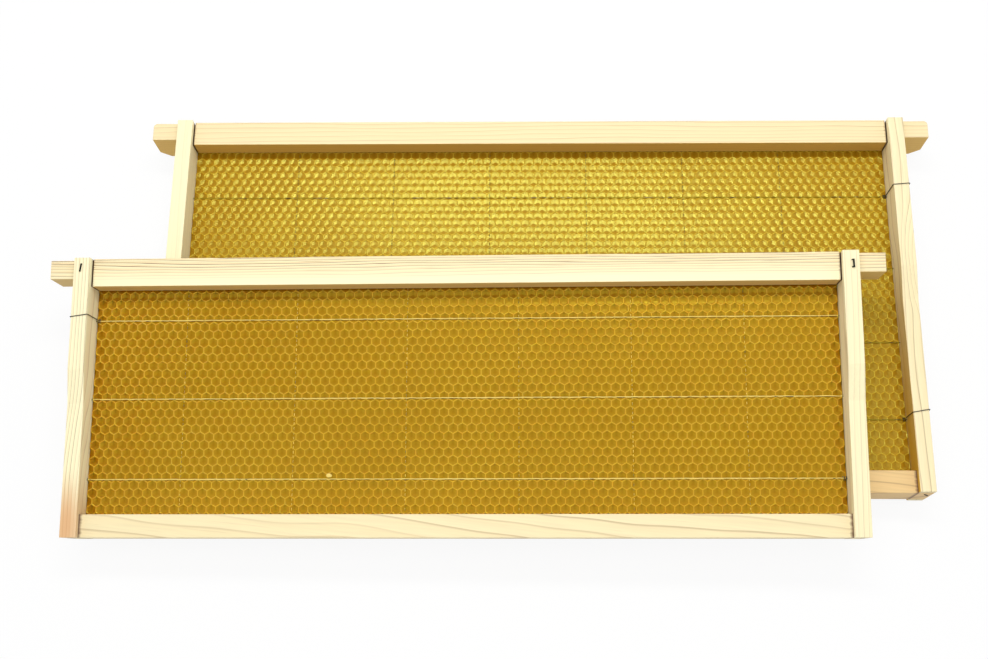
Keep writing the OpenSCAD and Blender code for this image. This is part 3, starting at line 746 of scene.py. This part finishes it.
def steel_material(name, bright_code, dull_code, roughness, bare=1.0, gloss=0.5):
    """Steel wire with a patchy dull film; on the crimped wires the bright and dull patches are painted
    glints and shade.
    bare is the share of it that no wax or oxide covers.
    """
    patches_per_metre = 260.0
    material, tree = new_material(name)
    place = add(tree, "ShaderNodeTexCoord").outputs["Object"]
    film_and_painted_glints = add(
        tree, "ShaderNodeTexNoise", {"Vector": place, "Scale": patches_per_metre, "Detail": 2.0}
    ).outputs["Fac"]
    film_and_painted_glints = add(tree, "ShaderNodeMapRange", {"Value": film_and_painted_glints, "From Min": 0.4, "From Max": 0.6}).outputs[0]
    colour = add(
        tree, "ShaderNodeMix", {0: film_and_painted_glints, 6: linear(bright_code), 7: linear(dull_code)}, data_type="RGBA"
    ).outputs[2]
    shader = add(
        tree,
        "ShaderNodeBsdfPrincipled",
        {"Base Color": colour, "Metallic": bare, "Roughness": roughness, "Specular IOR Level": gloss},
    )
    add(tree, "ShaderNodeOutputMaterial", {0: shader.outputs[0]})
    return material


def crimped_wires():
    """Group that stands crimped wires side by side, waving in and out of the sheet's middle plane."""
    math_node, crimp_pitch, steps, corners = "ShaderNodeMath", 2.7 * MM, 340, 6
    group, given = new_group(
        "crimped_wires",
        {
            "Wires": "Int",
            "First": "Vector",
            "Step": "Vector",
            "Half": "Vector",
            "Size": "Float",
            "Wave": "Float",
        },
    )
    feet = add(
        group,
        "GeometryNodeMeshLine",
        {"Count": given["Wires"], "Start Location": given["First"], "Offset": given["Step"]},
    ).outputs[0]
    other = add(
        group, "ShaderNodeVectorMath", {0: given["Half"], 1: (-1, -1, -1)}, operation="MULTIPLY"
    ).outputs[0]
    wire = add(group, "GeometryNodeCurvePrimitiveLine", {"Start": other, "End": given["Half"]}).outputs[0]
    wires = add(group, "GeometryNodeInstanceOnPoints", {"Points": feet, "Instance": wire}).outputs[0]
    wires = add(group, "GeometryNodeRealizeInstances", {"Geometry": wires}).outputs[0]
    wires = add(group, "GeometryNodeResampleCurve", {"Curve": wires, "Count": steps}).outputs[0]
    place = add(group, "GeometryNodeInputPosition").outputs[0]
    up = add(group, "ShaderNodeSeparateXYZ", {0: place}).outputs["Y"]
    turn = add(group, math_node, {0: up, 1: math.tau / crimp_pitch}, operation="MULTIPLY").outputs[0]
    wave = add(group, math_node, {0: turn}, operation="SINE").outputs[0]
    wave = add(group, math_node, {0: wave, 1: given["Wave"]}, operation="MULTIPLY").outputs[0]
    lift = add(group, "ShaderNodeCombineXYZ", {"Z": wave}).outputs[0]
    wires = add(group, "GeometryNodeSetPosition", {"Geometry": wires, "Offset": lift}).outputs[0]
    section = add(
        group, "GeometryNodeCurvePrimitiveCircle", {"Resolution": corners, "Radius": given["Size"]}
    ).outputs[0]
    wires = add(
        group, "GeometryNodeCurveToMesh", {"Curve": wires, "Profile Curve": section, "Fill Caps": True}
    ).outputs[0]
    return end_group(group, given, wires)


# The crimped wires' colours are painted: on the deep frame dark olive painted shade of wire under wax, on
# the medium frame a wax coating's yellow with bright painted glints and dark painted shade in patches.
shaded_crimped = steel_material("dark_crimped_wire", "#7A6224", "#3A2C0A", roughness=0.45, bare=0.3)
glinting_crimped = steel_material("bright_crimped_wire", "#DDB850", "#5A4412", roughness=0.35, bare=0.2)
crimps = crimped_wires()
wire_count, wire_inset, wire_radius, crimp_rise = 6, 1, 0.16, 0.42
for node, body, place, size, pitch, height, crimped in (
    ("deep_upright_wires", "deep_frame", deep_place, deep_sheet, 60.0, 0.3, shaded_crimped),
    ("medium_upright_wires", "medium_frame", medium_place, medium_sheet, 64.5, 0.18, glinting_crimped),
):
    mesh = grown(
        crimps,
        {
            "Wires": wire_count,
            "First": (-(wire_count - 1) / 2 * pitch * MM, 0, height * MM),
            "Step": (pitch * MM, 0, 0),
            "Half": (0, (size.y / 2 - wire_inset) * MM, 0),
            "Size": wire_radius * MM,
            "Wave": crimp_rise * MM,
            "Material": crimped,
        },
    )
    mesh.name = node + "_crimped"
    mesh.transform(place)
    piece = bpy.data.objects.new(node + "_crimped", mesh)
    scene.collection.objects.link(piece)
    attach(piece, body)
    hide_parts(node)

# Laced frame wire: one length of tinned steel wire through the holes in the side bars, drawn tight,
# each end led round a side bar and twisted round its own run. The CAD wire is shown as it is.
tinned = steel_material("tinned_wire", "#524E47", "#26231F", roughness=0.4)
for node in ("deep_frame_wire", "medium_frame_wire"):
    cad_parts[node].data.materials.clear()
    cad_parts[node].data.materials.append(tinned)

# Staples: dull flat steel wire with a dark film, driven by a staple gun through the forks into the
# medium frame's top bar and into both bottom bars. The CAD staples are shown as they are.
dull = steel_material("staple_steel", "#151413", "#080807", roughness=0.6, bare=0.1, gloss=0.15)
for node in ("deep_bottom_staples", "medium_bottom_staples", "medium_fork_staples"):
    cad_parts[node].data.materials.clear()
    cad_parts[node].data.materials.append(dull)

# Table, light and camera: a white table under a wide soft lamp overhead, with a small lamp behind
# the frames that makes the wax glitter, and white light from both sides. The camera stands where the
# photograph was taken from.
table_material, table_tree = new_material("white_table")
table_shade = add(
    table_tree, "ShaderNodeBsdfPrincipled", {"Base Color": linear("#E4E4E4"), "Roughness": 0.8}
)
table_glow = add(table_tree, "ShaderNodeEmission", {"Strength": 1.0})


def seen_white(tree):
    """Socket that is 1 for the rays that show a background: straight, mirrored and through wax."""
    rays = add(tree, "ShaderNodeLightPath").outputs
    seen = add(
        tree, "ShaderNodeMath", {0: rays["Is Camera Ray"], 1: rays["Is Glossy Ray"]}, operation="MAXIMUM"
    ).outputs[0]
    return add(
        tree, "ShaderNodeMath", {0: seen, 1: rays["Is Transmission Ray"]}, operation="MAXIMUM"
    ).outputs[0]


white_share = 0.9
share = add(
    table_tree, "ShaderNodeMath", {0: seen_white(table_tree), 1: white_share}, operation="MULTIPLY"
).outputs[0]
table_look = add(
    table_tree, "ShaderNodeMixShader", {0: share, 1: table_shade.outputs[0], 2: table_glow.outputs[0]}
).outputs[0]
add(table_tree, "ShaderNodeOutputMaterial", {0: table_look})
table_mesh = bpy.data.meshes.new("table")
half_table = 4.0
table_corners = [(x * half_table, y * half_table, 0) for x, y in ((-1, -1), (1, -1), (1, 1), (-1, 1))]
table_mesh.from_pydata(table_corners, [], [(0, 1, 2, 3)])
table_mesh.materials.append(table_material)
table = bpy.data.objects.new("table", table_mesh)
scene.collection.objects.link(table)

world = bpy.data.worlds.new("white_room")
world.use_nodes = True
world.node_tree.nodes.clear()
room_way = add(world.node_tree, "ShaderNodeTexCoord").outputs["Generated"]
room_way = add(world.node_tree, "ShaderNodeSeparateXYZ", {0: room_way}).outputs["X"]
room_way = add(world.node_tree, "ShaderNodeMath", {0: room_way}, operation="ABSOLUTE").outputs[0]
room_light = add(
    world.node_tree, "ShaderNodeMapRange", {"Value": room_way, "To Min": 0.1, "To Max": 1.32}
).outputs[0]
room_light = add(
    world.node_tree, "ShaderNodeMix", {0: seen_white(world.node_tree), 2: room_light, 3: 1.0}
).outputs[0]
room = add(
    world.node_tree, "ShaderNodeBackground", {"Color": linear("#FFFFFF"), "Strength": room_light}
)
add(world.node_tree, "ShaderNodeOutputWorld", {0: room.outputs[0]})
scene.world = world

lamp_aim = Vector((0, 0.07, 0.02))
for name, width, depth, power, lamp_place in (
    ("lamp_behind", 0.85, 0.16, 6.6, (0.03, 0.38, 1.08)),
    ("lamp_overhead", 2.0, 1.0, 8.5, (0, -0.28, 1.5)),
):
    lamp_data = bpy.data.lights.new(name, "AREA")
    lamp_data.shape = "ELLIPSE"
    lamp_data.size, lamp_data.size_y = width, depth
    lamp_data.energy = power
    lamp = bpy.data.objects.new(name, lamp_data)
    lamp.location = lamp_place
    lamp.rotation_euler = (lamp_aim - lamp.location).to_track_quat("-Z", "Y").to_euler()
    scene.collection.objects.link(lamp)

camera_data = bpy.data.cameras.new("camera")
camera_data.sensor_width = 36
camera_data.lens = 47.106
camera_place = (0.01452, -0.25295, 0.75358)
ahead = Vector((-0.02446456, 0.32361103, -0.94587388))
upward = Vector((-0.00019109, 0.94615553, 0.32371233))
turn = Matrix((ahead.cross(upward), upward, -ahead)).transposed()
camera = bpy.data.objects.new("camera", camera_data)
camera.matrix_world = Matrix.Translation(camera_place) @ turn.to_4x4()
scene.collection.objects.link(camera)
scene.camera = camera
scene.view_settings.view_transform = "Standard"
